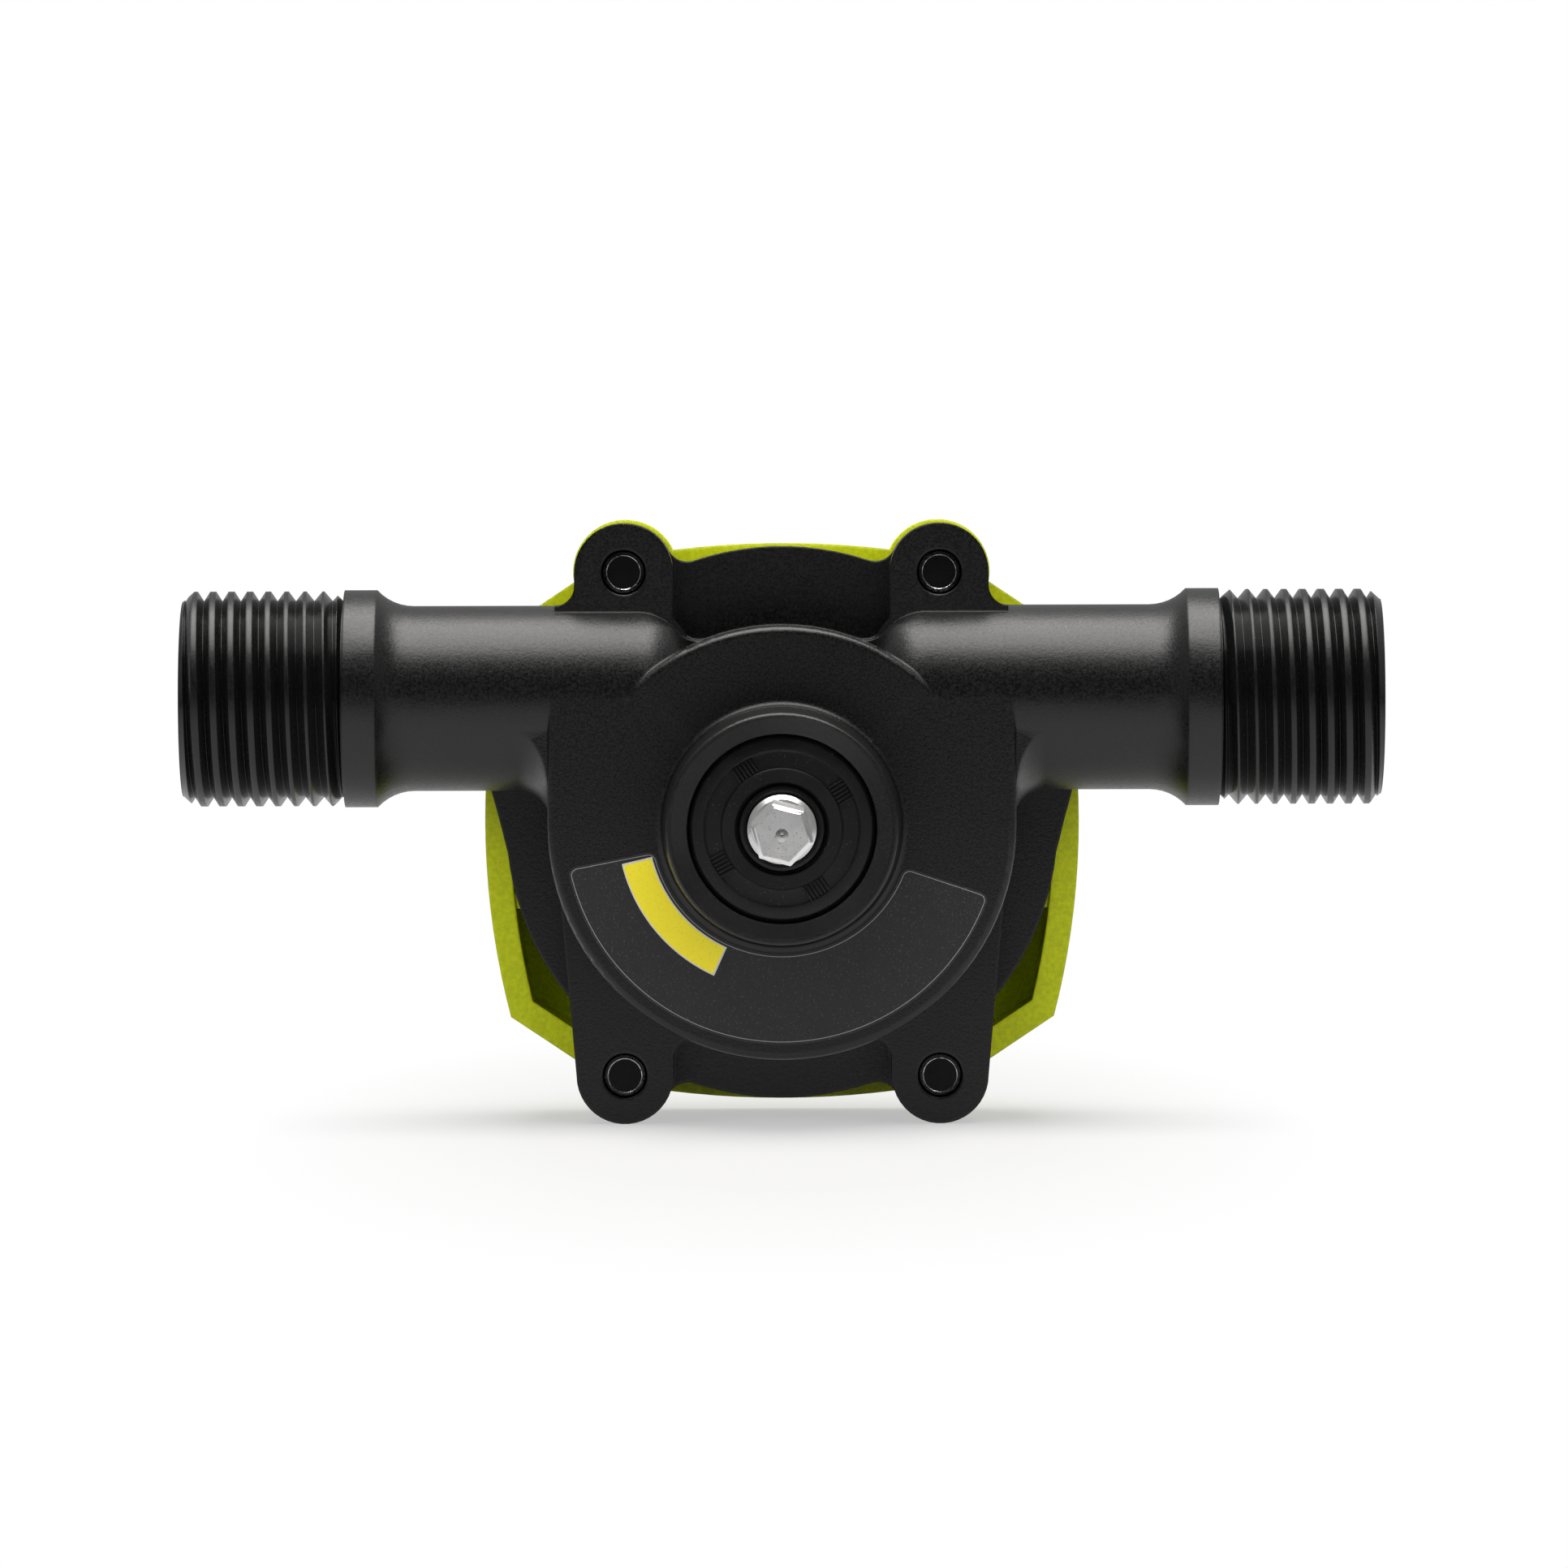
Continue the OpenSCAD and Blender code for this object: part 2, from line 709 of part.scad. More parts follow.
// Steel shaft: hexagon for the chuck, then round through seal, bearing and impeller.
module drive_shaft() {
    flat_r = hex_r - shaft_chamfer;
    end_y = hub_back - side_gap;
    groove_r = shaft_r - ring_groove;
    color(steel) stand() difference() {
        union() {
            intersection() {
                translate([0, tip_y, 0]) rotate([-90, 0, 0]) rotate(-hex_turn)
                    cylinder(r = hex_r, h = hex_len + shaft_chamfer, $fn = 6);
                about_shaft() polygon([[0, tip_y], [flat_r, tip_y],
                    [hex_r + shaft_chamfer, tip_y + 2 * shaft_chamfer],
                    [hex_r + shaft_chamfer, bearing_front], [0, bearing_front]]);
            }
            about_shaft() polygon([[0, hex_end], [shaft_r - shaft_chamfer, hex_end],
                [shaft_r, hex_end + shaft_chamfer], [shaft_r, end_y - shaft_chamfer],
                [shaft_r - shaft_chamfer, end_y], [0, end_y]]);
        }
        for (y = [bearing_front - ring_t, bearing_back])
            ring(groove_r, shaft_r + over, y - run_clear, y + ring_t + run_clear);
        translate([-shaft_r - over, pin_y, 0]) rotate([0, 90, 0])
            cylinder(r = pin_d / 2 + press_clear, h = shaft_d + 2 * over);
        about_shaft() polygon([[0, tip_y - over], [shaft_chamfer + over, tip_y - over],
            [0, tip_y + shaft_chamfer]]);
    }
}

// Two snap rings, one on each side of the bearing.
module retaining_rings() {
    inner = shaft_r - ring_groove + press_clear;
    outer = inner + ring_w;
    lug_r = ring_w * 0.7;
    gap = ring_w;
    color(dark_steel) stand() for (y = [bearing_front - ring_t, bearing_back])
        slab(y, y + ring_t - press_clear) difference() {
            union() {
                circle(r = outer);
                both_sides() translate([gap, outer - lug_r / 2]) circle(r = lug_r);
            }
            circle(r = inner);
            translate([-gap / 2, 0]) square([gap, 2 * outer]);
            both_sides() translate([gap + lug_r / 5, outer - lug_r / 3]) circle(r = lug_r / 3);
        }
}

module bearing_outer_ring() {
    out = seat_r - press_clear;
    shield_step = shield_t + shield_inset + press_clear;
    color(steel) stand() about_shaft() difference() {
        translate([outer_land_r, bearing_front]) square([out - outer_land_r, bearing_w]);
        translate([ball_circle_r, bearing_mid]) circle(r = race_r);
        for (y = [bearing_front - over, bearing_back - shield_step])
            translate([outer_land_r - over, y])
                square([over + shield_inset + press_clear, shield_step + over]);
    }
}

module bearing_inner_ring() {
    bore = shaft_r + press_clear;
    color(steel) stand() about_shaft() difference() {
        translate([bore, bearing_front + press_clear])
            square([inner_land_r - bore, bearing_w - 2 * press_clear]);
        translate([ball_circle_r, bearing_mid]) circle(r = race_r);
    }
}

module bearing_balls() {
    color(steel) stand() for (k = [0:ball_n - 1])
        rotate([0, k * 360 / ball_n, 0]) translate([ball_circle_r, bearing_mid, 0])
            sphere(r = ball_r, $fn = 48);
}

// Two pressed half cages that meet at the balls' middle plane.
module bearing_cage() {
    joint = press_clear;
    color("#8f8a7c") stand() difference() {
        union() {
            ring(ball_circle_r - cage_band / 2, ball_circle_r + cage_band / 2,
                bearing_mid - cage_half_w, bearing_mid - joint);
            ring(ball_circle_r - cage_band / 2, ball_circle_r + cage_band / 2,
                bearing_mid + joint, bearing_mid + cage_half_w);
        }
        for (k = [0:ball_n - 1]) translate([0, bearing_mid, 0]) rotate([0, k * 360 / ball_n, 0])
            rotate([0, 90, 0]) translate([0, 0, ball_circle_r - cage_band])
                cylinder(r = ball_r + run_clear * 2, h = 2 * cage_band);
        rivets(rivet_r + press_clear, cage_half_w + over);
    }
}

module rivets(r, reach) {
    for (k = [0:ball_n - 1]) rotate([0, (k + 1 / 2) * 360 / ball_n, 0])
        translate([ball_circle_r, 0, 0]) rod(r, bearing_mid - reach, bearing_mid + reach);
}

module cage_rivets() {
    color(steel) stand() rivets(rivet_r, cage_half_w + rivet_r / 4);
}

// Rubber faced discs that close the bearing on both sides.
module bearing_seals() {
    color(rubber) stand() for (y = [bearing_front + shield_inset,
            bearing_back - shield_inset - shield_t])
        ring(inner_land_r + run_clear, shield_out_r, y, y + shield_t);
}

// Section of the seal's rubber: outer wall, front web with its rings, dust lip, main lip.
module seal_profile() {
    out = seat_r - press_clear;
    lip_r = shaft_r + run_clear;
    web = seal_skin + case_t;
    web_back = seal_front + web + seal_skin / 2;
    step = seal_skin / 3;
    dust_r = shaft_r + case_t * 1.8;
    flat_r = ball_circle_r - case_t;
    wall_in = out - seal_skin - case_t;
    polygon([[lip_r, seal_front + web * 1.2], [dust_r, seal_front + step],
        [dust_r + step, seal_front + web / 2], [dust_r + 2 * step, seal_front],
        [flat_r, seal_front], [flat_r + step, seal_front + step], [out - 2 * web, seal_front + step],
        [out - 2 * web + step, seal_front], [out - seal_skin, seal_front],
        [out, seal_front + seal_skin], [out, seal_back - seal_skin],
        [out - seal_skin / 2, seal_back], [wall_in, seal_back],
        [wall_in, web_back], [dust_r + web, web_back], [dust_r + web, seal_back - web * 1.5],
        [dust_r + web / 2, seal_back - web / 2], [dust_r - web / 4, seal_back - web / 2],
        [lip_r, seal_back - web * 1.7], [dust_r - web / 4, seal_front + web * 2.6],
        [dust_r, web_back], [lip_r + web / 4, seal_front + web * 1.6]]);
}

// The steel case inside the rubber: a disc and a wall, in one pressed ring.
module case_profile(grow) {
    out = seat_r - press_clear - seal_skin + grow;
    front = seal_front + seal_skin - grow;
    inner = shaft_r + case_t * 6 - grow;
    thick = case_t + 2 * grow;
    translate([inner, front]) square([out - inner, thick]);
    translate([out - thick, front]) square([thick, seal_w - 2 * seal_skin + 2 * grow]);
}

module spring_place() {
    translate([shaft_r + case_t * 1.8 + seal_skin + case_t + spring_d / 2 + press_clear,
        seal_back - spring_d * 1.4]) children();
}

module seal_body() {
    color(rubber) stand() about_shaft() difference() {
        seal_profile();
        case_profile(press_clear);
    }
}

module seal_case() {
    color(steel) stand() about_shaft() case_profile(0);
}

module seal_spring() {
    color(steel) stand() about_shaft() spring_place() circle(d = spring_d);
}

// Bare label on the lower half of the drum's face.
module face_label() {
    half = label_sweep / 2;
    middle = label_start + half;
    far = 2 * label_out_r;
    color("#2a2a2c") stand() slab(-label_t - press_clear, -press_clear) intersection() {
        difference() {
            circle(r = label_out_r);
            circle(r = label_in_r);
        }
        rotate(middle) polygon([[0, 0], far * [cos(half), sin(half)], far * [1, sin(half)],
            far * [1, -sin(half)], far * [cos(half), -sin(half)]]);
    }
}

pump_housing();
front_cover();
cover_screws();
cover_oring();
end_plate();
impeller();
impeller_insert();
drive_pin();
drive_shaft();
retaining_rings();
bearing_outer_ring();
bearing_inner_ring();
bearing_balls();
bearing_cage();
cage_rivets();
bearing_seals();
seal_body();
seal_case();
seal_spring();
face_label();
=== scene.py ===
import math

import bpy
from mathutils import Matrix, Vector


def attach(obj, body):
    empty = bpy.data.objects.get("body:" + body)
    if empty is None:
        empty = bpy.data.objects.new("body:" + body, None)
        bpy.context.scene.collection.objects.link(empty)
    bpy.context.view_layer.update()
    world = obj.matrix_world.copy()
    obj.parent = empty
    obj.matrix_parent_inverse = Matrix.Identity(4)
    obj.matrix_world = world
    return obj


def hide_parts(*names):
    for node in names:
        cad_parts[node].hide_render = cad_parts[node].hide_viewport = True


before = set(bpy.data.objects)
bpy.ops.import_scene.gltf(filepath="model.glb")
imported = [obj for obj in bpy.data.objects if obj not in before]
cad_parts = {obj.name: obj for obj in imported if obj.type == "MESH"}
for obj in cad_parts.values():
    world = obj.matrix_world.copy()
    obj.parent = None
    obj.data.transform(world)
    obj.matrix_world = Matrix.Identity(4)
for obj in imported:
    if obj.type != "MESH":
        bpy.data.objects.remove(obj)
bpy.context.view_layer.update()

# The pump housing: one injection moulding of black glass filled nylon with a spark-eroded skin.
# The drum, the neck, both port tubes, the four ears and the flange are a single piece. Its edges
# carry the mould's small radius, and the ports are turned down to the root of the hose threads.
MM = 0.001
SHAFT_HEIGHT = 35.3
MIDDLE = 1.75


def spot(x, depth, rise):
    """A point given across, behind the drum's face and above the shaft, in millimetres."""
    return Vector((x * MM, (depth - MIDDLE) * MM, (rise + SHAFT_HEIGHT) * MM))


def pick(piece):
    bpy.ops.object.select_all(action="DESELECT")
    piece.select_set(True)
    bpy.context.view_layer.objects.active = piece


def moulding_from(node, name):
    piece = bpy.data.objects.new(name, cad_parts[node].data.copy())
    piece.data.materials.clear()
    bpy.context.scene.collection.objects.link(piece)
    pick(piece)
    bpy.ops.object.mode_set(mode="EDIT")
    bpy.ops.mesh.select_all(action="SELECT")
    bpy.ops.mesh.remove_doubles(threshold=1e-6)
    bpy.ops.mesh.customdata_custom_splitnormals_clear()
    bpy.ops.object.mode_set(mode="OBJECT")
    return piece


def even_shading(piece, angle=35):
    pick(piece)
    bpy.ops.object.shade_smooth_by_angle(angle=math.radians(angle))
    bpy.ops.object.modifier_add(type="WEIGHTED_NORMAL")
    piece.modifiers[-1].keep_sharp = True
    bpy.ops.object.modifier_apply(modifier=piece.modifiers[-1].name)


PORT_RISE = 14.8
PORT_DEPTH = 11.0


def from_port_axis(p):
    return math.hypot(p.y / MM + MIDDLE - PORT_DEPTH, p.z / MM - SHAFT_HEIGHT - PORT_RISE)


housing = moulding_from("pump_housing", "housing_moulding")
THREAD_CREST = 12.66
THREAD_ROOT = 11.55
BLANK_FROM = 52.3
BLANK_TO = 69.6
BLANK_RADIUS = 12.5
TUBE_FRONT = 0.1
TUBE_FROM = 17
TUBE_TO = 27.5
port_centre = spot(0, PORT_DEPTH, PORT_RISE)
for vertex in housing.data.vertices:
    reach = abs(vertex.co.x) / MM
    radius = from_port_axis(vertex.co)
    depth = vertex.co.y / MM + MIDDLE
    above = vertex.co.z / MM - SHAFT_HEIGHT - PORT_RISE
    if BLANK_FROM < reach < BLANK_TO and radius > BLANK_RADIUS:
        shrink = THREAD_ROOT / radius
        vertex.co.y = port_centre.y + (vertex.co.y - port_centre.y) * shrink
        vertex.co.z = port_centre.z + (vertex.co.z - port_centre.z) * shrink
    elif TUBE_FROM < reach < TUBE_TO and abs(above) < 0.02 and depth < TUBE_FRONT - 0.01:
        vertex.co.y = (TUBE_FRONT - MIDDLE) * MM
even_shading(housing, 30)


def add(nodes, kind, **settings):
    node = nodes.new("ShaderNode" + kind)
    for key, value in settings.items():
        setattr(node, key, value)
    return node


def noise(nodes, links, place, scale, detail=3.0, roughness=0.55):
    node = add(nodes, "TexNoise")
    node.inputs["Scale"].default_value = scale
    node.inputs["Detail"].default_value = detail
    node.inputs["Roughness"].default_value = roughness
    links.new(place, node.inputs["Vector"])
    return node.outputs["Fac"]


def spread(nodes, links, value, low, high, to_low, to_high):
    node = add(nodes, "MapRange")
    node.inputs["From Min"].default_value = low
    node.inputs["From Max"].default_value = high
    node.inputs["To Min"].default_value = to_low
    node.inputs["To Max"].default_value = to_high
    links.new(value, node.inputs["Value"])
    return node.outputs["Result"]


def blend_colours(nodes, links, share, first, second):
    node = add(nodes, "Mix", data_type="RGBA")
    links.new(share, node.inputs[0])
    for socket, colour in ((node.inputs[6], first), (node.inputs[7], second)):
        if isinstance(colour, tuple):
            socket.default_value = (*colour, 1)
        else:
            links.new(colour, socket)
    return node.outputs[2]


def bump(nodes, links, height, depth, strength, below=None):
    node = add(nodes, "Bump")
    node.inputs["Distance"].default_value = depth * MM
    node.inputs["Strength"].default_value = strength
    links.new(height, node.inputs["Height"])
    if below is not None:
        links.new(below, node.inputs["Normal"])
    return node.outputs["Normal"]


def start_finish(name):
    finish = bpy.data.materials.new(name)
    finish.use_nodes = True
    nodes = finish.node_tree.nodes
    links = finish.node_tree.links
    place = add(nodes, "TexCoord").outputs["Object"]
    return finish, nodes, links, place, nodes["Principled BSDF"]


def moulded_plastic(name, dark, light, rough, grain, depth, edge, ior=1.5):
    """Moulded plastic: a mottled eroded skin, scuffs, rubbed streaks and edges softened by edge mm."""
    finish, nodes, links, place, shader = start_finish(name)
    shader.inputs["IOR"].default_value = ior
    skin = noise(nodes, links, place, grain, 2.5, 0.6)
    fine = noise(nodes, links, place, grain * 2.7, 2, 0.6)
    scuff_place = add(nodes, "Mapping")
    scuff_place.inputs["Rotation"].default_value = (0.4, 0.9, 0.3)
    scuff_place.inputs["Scale"].default_value = (1, 1, 14)
    links.new(place, scuff_place.inputs["Vector"])
    scuff = noise(nodes, links, scuff_place.outputs["Vector"], 160, 5, 0.7)
    rub = spread(nodes, links, scuff, 0.66, 0.8, 0, 0.35)
    mottle = spread(nodes, links, skin, 0.36, 0.64, 0, 1)
    tone = blend_colours(nodes, links, mottle, dark, light)
    lighter = tuple(min(1, c * 1.6 + 0.006) for c in light)
    worn = blend_colours(nodes, links, rub, tone, lighter)
    links.new(worn, shader.inputs["Base Color"])
    gloss = spread(nodes, links, skin, 0.3, 0.7, rough - 0.06, rough + 0.08)
    links.new(gloss, shader.inputs["Roughness"])
    soft = add(nodes, "Bevel", samples=6)
    soft.inputs["Radius"].default_value = edge * MM
    first = bump(nodes, links, skin, depth, 0.55, soft.outputs["Normal"])
    second = bump(nodes, links, fine, depth * 0.4, 0.5, first)
    third = bump(nodes, links, scuff, depth * 0.5, 0.12, second)
    links.new(third, shader.inputs["Normal"])
    return finish


housing_black = moulded_plastic("housing_black", (0.0004, 0.0004, 0.0005), (0.004, 0.0039, 0.0038),
                                rough=0.36, grain=2900, depth=0.045, edge=0.45)
housing.data.materials.append(housing_black)
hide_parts("pump_housing")
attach(housing, "housing")

# The hose threads: male hose threads of 11.5 turns to the inch, moulded on the end of each port.
# Each is a right-handed ridge. Its flat crest narrows towards the collar, where it runs out in the
# relief, and the chamfer at the port's mouth cuts it.
PITCH = 2.166
CREST_HALF = 0.36
TURNS = 11
RIDGE_FOOT = 11.0
RIDGE_GAP = 0.012
RIDGE_STEPS = 96


def turned(name, outline, centre, axis, steps=96, sweep=360, start=0):
    """A body turned about an axis from the points of its closed outline, (along, radius)."""
    bpy.ops.object.select_all(action="DESELECT")
    bpy.ops.mesh.primitive_circle_add(vertices=len(outline), radius=MM, location=(0, 0, 0))
    piece = bpy.context.object
    piece.name = name
    turn = math.radians(start)
    for vertex, (along, radius) in zip(piece.data.vertices, outline):
        if axis == "X":
            arm = Vector((along, -radius * math.sin(turn), radius * math.cos(turn)))
        else:
            arm = Vector((radius * math.cos(turn), along, radius * math.sin(turn)))
        vertex.co = centre + arm * MM
    bpy.ops.object.mode_set(mode="EDIT")
    bpy.ops.mesh.select_all(action="SELECT")
    direction = (1, 0, 0) if axis == "X" else (0, 1, 0)
    bpy.ops.mesh.spin(steps=steps, angle=math.radians(sweep), center=centre, axis=direction)
    bpy.ops.mesh.select_all(action="SELECT")
    bpy.ops.mesh.remove_doubles(threshold=1e-6)
    bpy.ops.mesh.fill_holes(sides=len(outline))
    bpy.ops.mesh.delete_loose()
    bpy.ops.mesh.select_all(action="SELECT")
    bpy.ops.mesh.normals_make_consistent(inside=False)
    bpy.ops.object.mode_set(mode="OBJECT")
    bpy.ops.object.shade_smooth_by_angle(angle=math.radians(30))
    return piece


def cut_with(piece, tool, operation):
    pick(piece)
    bpy.ops.object.modifier_add(type="BOOLEAN")
    modifier = piece.modifiers[-1]
    modifier.operation = operation
    modifier.solver = "EXACT"
    modifier.object = tool
    bpy.ops.object.modifier_apply(modifier=modifier.name)
    bpy.data.objects.remove(tool)


def ridge(name, first_crest, half, crest, floor, turns):
    """A helical ridge about the port axis, whose crest passes the top at first_crest."""
    foot = PITCH / 2 - RIDGE_GAP
    points = [(-foot, RIDGE_FOOT), (-foot, floor), (-half, crest),
              (half, crest), (foot, floor), (foot, RIDGE_FOOT)]
    start = spot(first_crest, PORT_DEPTH, PORT_RISE)
    bpy.ops.object.select_all(action="DESELECT")
    bpy.ops.mesh.primitive_circle_add(vertices=len(points), radius=MM, location=start)
    piece = bpy.context.object
    piece.name = name
    for vertex, (along, radius) in zip(piece.data.vertices, points):
        vertex.co = Vector((along, 0, radius)) * MM
    bpy.ops.object.modifier_add(type="SCREW")
    screw = piece.modifiers[-1]
    screw.axis = "X"
    screw.steps = RIDGE_STEPS
    screw.render_steps = RIDGE_STEPS
    screw.angle = math.radians(360)
    screw.screw_offset = PITCH * MM
    screw.iterations = turns
    screw.use_merge_vertices = False
    bpy.ops.object.modifier_apply(modifier=screw.name)
    bpy.ops.object.transform_apply(location=True, rotation=True, scale=True)
    bpy.ops.object.mode_set(mode="EDIT")
    bpy.ops.mesh.select_all(action="SELECT")
    bpy.ops.mesh.fill_holes(sides=len(points))
    bpy.ops.mesh.select_all(action="SELECT")
    bpy.ops.mesh.normals_make_consistent(inside=False)
    bpy.ops.object.mode_set(mode="OBJECT")
    return piece


flank_black = moulded_plastic("flank_black", (0.003, 0.003, 0.0032), (0.0047, 0.0046, 0.0045),
                              rough=0.2, grain=2900, depth=0.02, edge=0.12)
PINCHED_WITHIN = 62
RELIEF_END = 50
NARROWEST = 0.12
CREST_FROM = 12.2
FLANK_BELOW = THREAD_CREST - 0.12
for side, port, last_root in ((-1, "outlet", 68.0), (1, "inlet", 68.9)):
    outer_crest = last_root + PITCH / 2
    low_crest = outer_crest - PITCH * (TURNS - 1) if side > 0 else -outer_crest - PITCH
    thread = ridge(port + "_thread", low_crest, CREST_HALF, THREAD_CREST, THREAD_ROOT, TURNS)
    for vertex in thread.data.vertices:
        reach = abs(vertex.co.x) / MM
        if from_port_axis(vertex.co) > CREST_FROM and reach < PINCHED_WITHIN:
            pinch = max(NARROWEST, (reach - RELIEF_END) / (PINCHED_WITHIN - RELIEF_END))
            turn = math.atan2(-(vertex.co.y - port_centre.y), vertex.co.z - port_centre.z) / math.tau
            phase = (vertex.co.x / MM - low_crest) / PITCH - turn
            offset = (phase - round(phase)) * PITCH
            vertex.co.x += offset * (pinch - 1) * MM
    mouth = [(side * 70.3, 10.9), (side * 70.46, 11.45), (side * 69.1, 12.7), (side * 52.9, 12.7),
             (side * 51.95, 11.9), (side * 51.5, 11.4), (side * 51.2, 10.9)]
    if side > 0:
        mouth.reverse()
    die = turned("thread_die", mouth, port_centre, "X", 96)
    cut_with(thread, die, "INTERSECT")
    even_shading(thread, 25)
    thread.data.materials.clear()
    thread.data.materials.append(housing_black)
    thread.data.materials.append(flank_black)
    for face in thread.data.polygons:
        if from_port_axis(face.center) < FLANK_BELOW:
            face.material_index = 1
    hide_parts("pump_housing")
    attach(thread, "housing")

# The ball bearing, the retaining rings and the drive pin: bright ground bearing steel, spring
# steel and a dowel pin. All of them sit out of sight in the neck and the rotor, so the CAD
# solids stay and get their ground, drawn and pressed surfaces here.


def machined_steel(name, dark, light, rough, line_scale, across):
    """Bare steel with fine tool lines, stretched by across, and with smears and small pits."""
    finish, nodes, links, place, shader = start_finish(name)
    shader.inputs["Metallic"].default_value = 1
    lines_place = add(nodes, "Mapping")
    lines_place.inputs["Scale"].default_value = across
    links.new(place, lines_place.inputs["Vector"])
    lines = noise(nodes, links, lines_place.outputs["Vector"], line_scale, 4, 0.7)
    smear = noise(nodes, links, place, 260, 4, 0.6)
    pits = noise(nodes, links, place, 2600, 2, 0.5)
    tone = blend_colours(nodes, links, smear, dark, light)
    dirt = spread(nodes, links, pits, 0.64, 0.74, 0, 0.5)
    stained = blend_colours(nodes, links, dirt, tone, tuple(c * 0.45 for c in dark))
    links.new(stained, shader.inputs["Base Color"])
    gloss = spread(nodes, links, smear, 0.3, 0.7, rough - 0.05, rough + 0.1)
    links.new(gloss, shader.inputs["Roughness"])
    grooves = bump(nodes, links, lines, 0.006, 0.5)
    links.new(grooves, shader.inputs["Normal"])
    return finish


def dress(finish, *node_names):
    for node in node_names:
        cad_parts[node].data.materials.clear()
        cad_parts[node].data.materials.append(finish)


bearing_steel = machined_steel("bearing_steel", (0.5, 0.5, 0.51), (0.66, 0.66, 0.67), 0.14, 500, (1, 9, 1))
dress(bearing_steel, "bearing_outer_ring", "bearing_inner_ring", "bearing_balls")
ring_steel = machined_steel("ring_steel", (0.02, 0.021, 0.024), (0.05, 0.05, 0.055), 0.4, 900, (1, 4, 1))
dress(ring_steel, "retaining_rings")
pin_steel = machined_steel("pin_steel", (0.5, 0.5, 0.5), (0.66, 0.66, 0.66), 0.2, 700, (9, 1, 1))
dress(pin_steel, "drive_pin")
cage_steel = machined_steel("cage_steel", (0.4, 0.39, 0.37), (0.56, 0.55, 0.52), 0.3, 900, (1, 1, 1))
dress(cage_steel, "bearing_cage")
rivet_steel = machined_steel("rivet_steel", (0.45, 0.44, 0.42), (0.6, 0.59, 0.56), 0.28, 1800, (1, 1, 1))
dress(rivet_steel, "cage_rivets")


def moulded_rubber(name, dark, light, rough, grain):
    """Moulded rubber: a soft dull skin with bloom and fine dust."""
    finish, nodes, links, place, shader = start_finish(name)
    shader.inputs["IOR"].default_value = 1.4
    bloom = noise(nodes, links, place, 240, 4, 0.6)
    skin = noise(nodes, links, place, grain, 3, 0.6)
    dust = noise(nodes, links, place, 4200, 1.5, 0.5)
    tone = blend_colours(nodes, links, bloom, dark, light)
    specks = spread(nodes, links, dust, 0.68, 0.74, 0, 0.45)
    dusty = blend_colours(nodes, links, specks, tone, (0.09, 0.085, 0.08))
    links.new(dusty, shader.inputs["Base Color"])
    gloss = spread(nodes, links, bloom, 0.3, 0.7, rough - 0.08, rough + 0.1)
    links.new(gloss, shader.inputs["Roughness"])
    links.new(bump(nodes, links, skin, 0.03, 0.4), shader.inputs["Normal"])
    return finish


shield_rubber = moulded_rubber("shield_rubber", (0.012, 0.012, 0.013), (0.02, 0.02, 0.021), 0.42, 1900)
dress(shield_rubber, "bearing_seals")

# The drive shaft: an 8 mm steel shaft with a quarter inch hexagon milled on its front end for the
# drill's chuck. Its tip is faced, each of its six edges is bevelled, and it keeps the small dimple
# of the lathe's centre.
shaft = moulding_from("drive_shaft", "shaft_body")
DIMPLE_OUTLINE = [(-39.5, 0.0), (-39.5, 1.35), (-37.75, 0.3), (-37.3, 0.0)]
dimple = turned("centre_drill", DIMPLE_OUTLINE, spot(0, 0, 0), "Y", 32)
cut_with(shaft, dimple, "DIFFERENCE")
HEX_TURN = 45.6
HEX_HALF = 3.175
TIP_BEVEL = 0.45
tip = min(vertex.co.y for vertex in shaft.data.vertices)
pick(shaft)
bpy.ops.object.mode_set(mode="EDIT")
for side in range(6):
    turn = math.radians(HEX_TURN + 30 + 60 * side)
    outward = Vector((math.cos(turn), 0, math.sin(turn)))
    edge = spot(0, 0, 0) + outward * HEX_HALF * MM
    edge.y = tip + TIP_BEVEL * MM
    bpy.ops.mesh.select_all(action="SELECT")
    slope = outward + Vector((0, -1, 0))
    bpy.ops.mesh.bisect(plane_co=edge, plane_no=slope, use_fill=True, clear_outer=True)
bpy.ops.object.mode_set(mode="OBJECT")
even_shading(shaft, 25)


def about_shaft(nodes, links, place):
    """The place's parts measured from the shaft's axis, and its distance from that axis."""
    centred = add(nodes, "Mapping")
    centred.inputs["Location"].default_value = (0, 0, -SHAFT_HEIGHT * MM)
    links.new(place, centred.inputs["Vector"])
    parts = add(nodes, "SeparateXYZ")
    links.new(centred.outputs["Vector"], parts.inputs["Vector"])
    flat = add(nodes, "CombineXYZ")
    links.new(parts.outputs["X"], flat.inputs["X"])
    links.new(parts.outputs["Z"], flat.inputs["Y"])
    length = add(nodes, "VectorMath", operation="LENGTH")
    links.new(flat.outputs["Vector"], length.inputs[0])
    return parts, length.outputs["Value"]


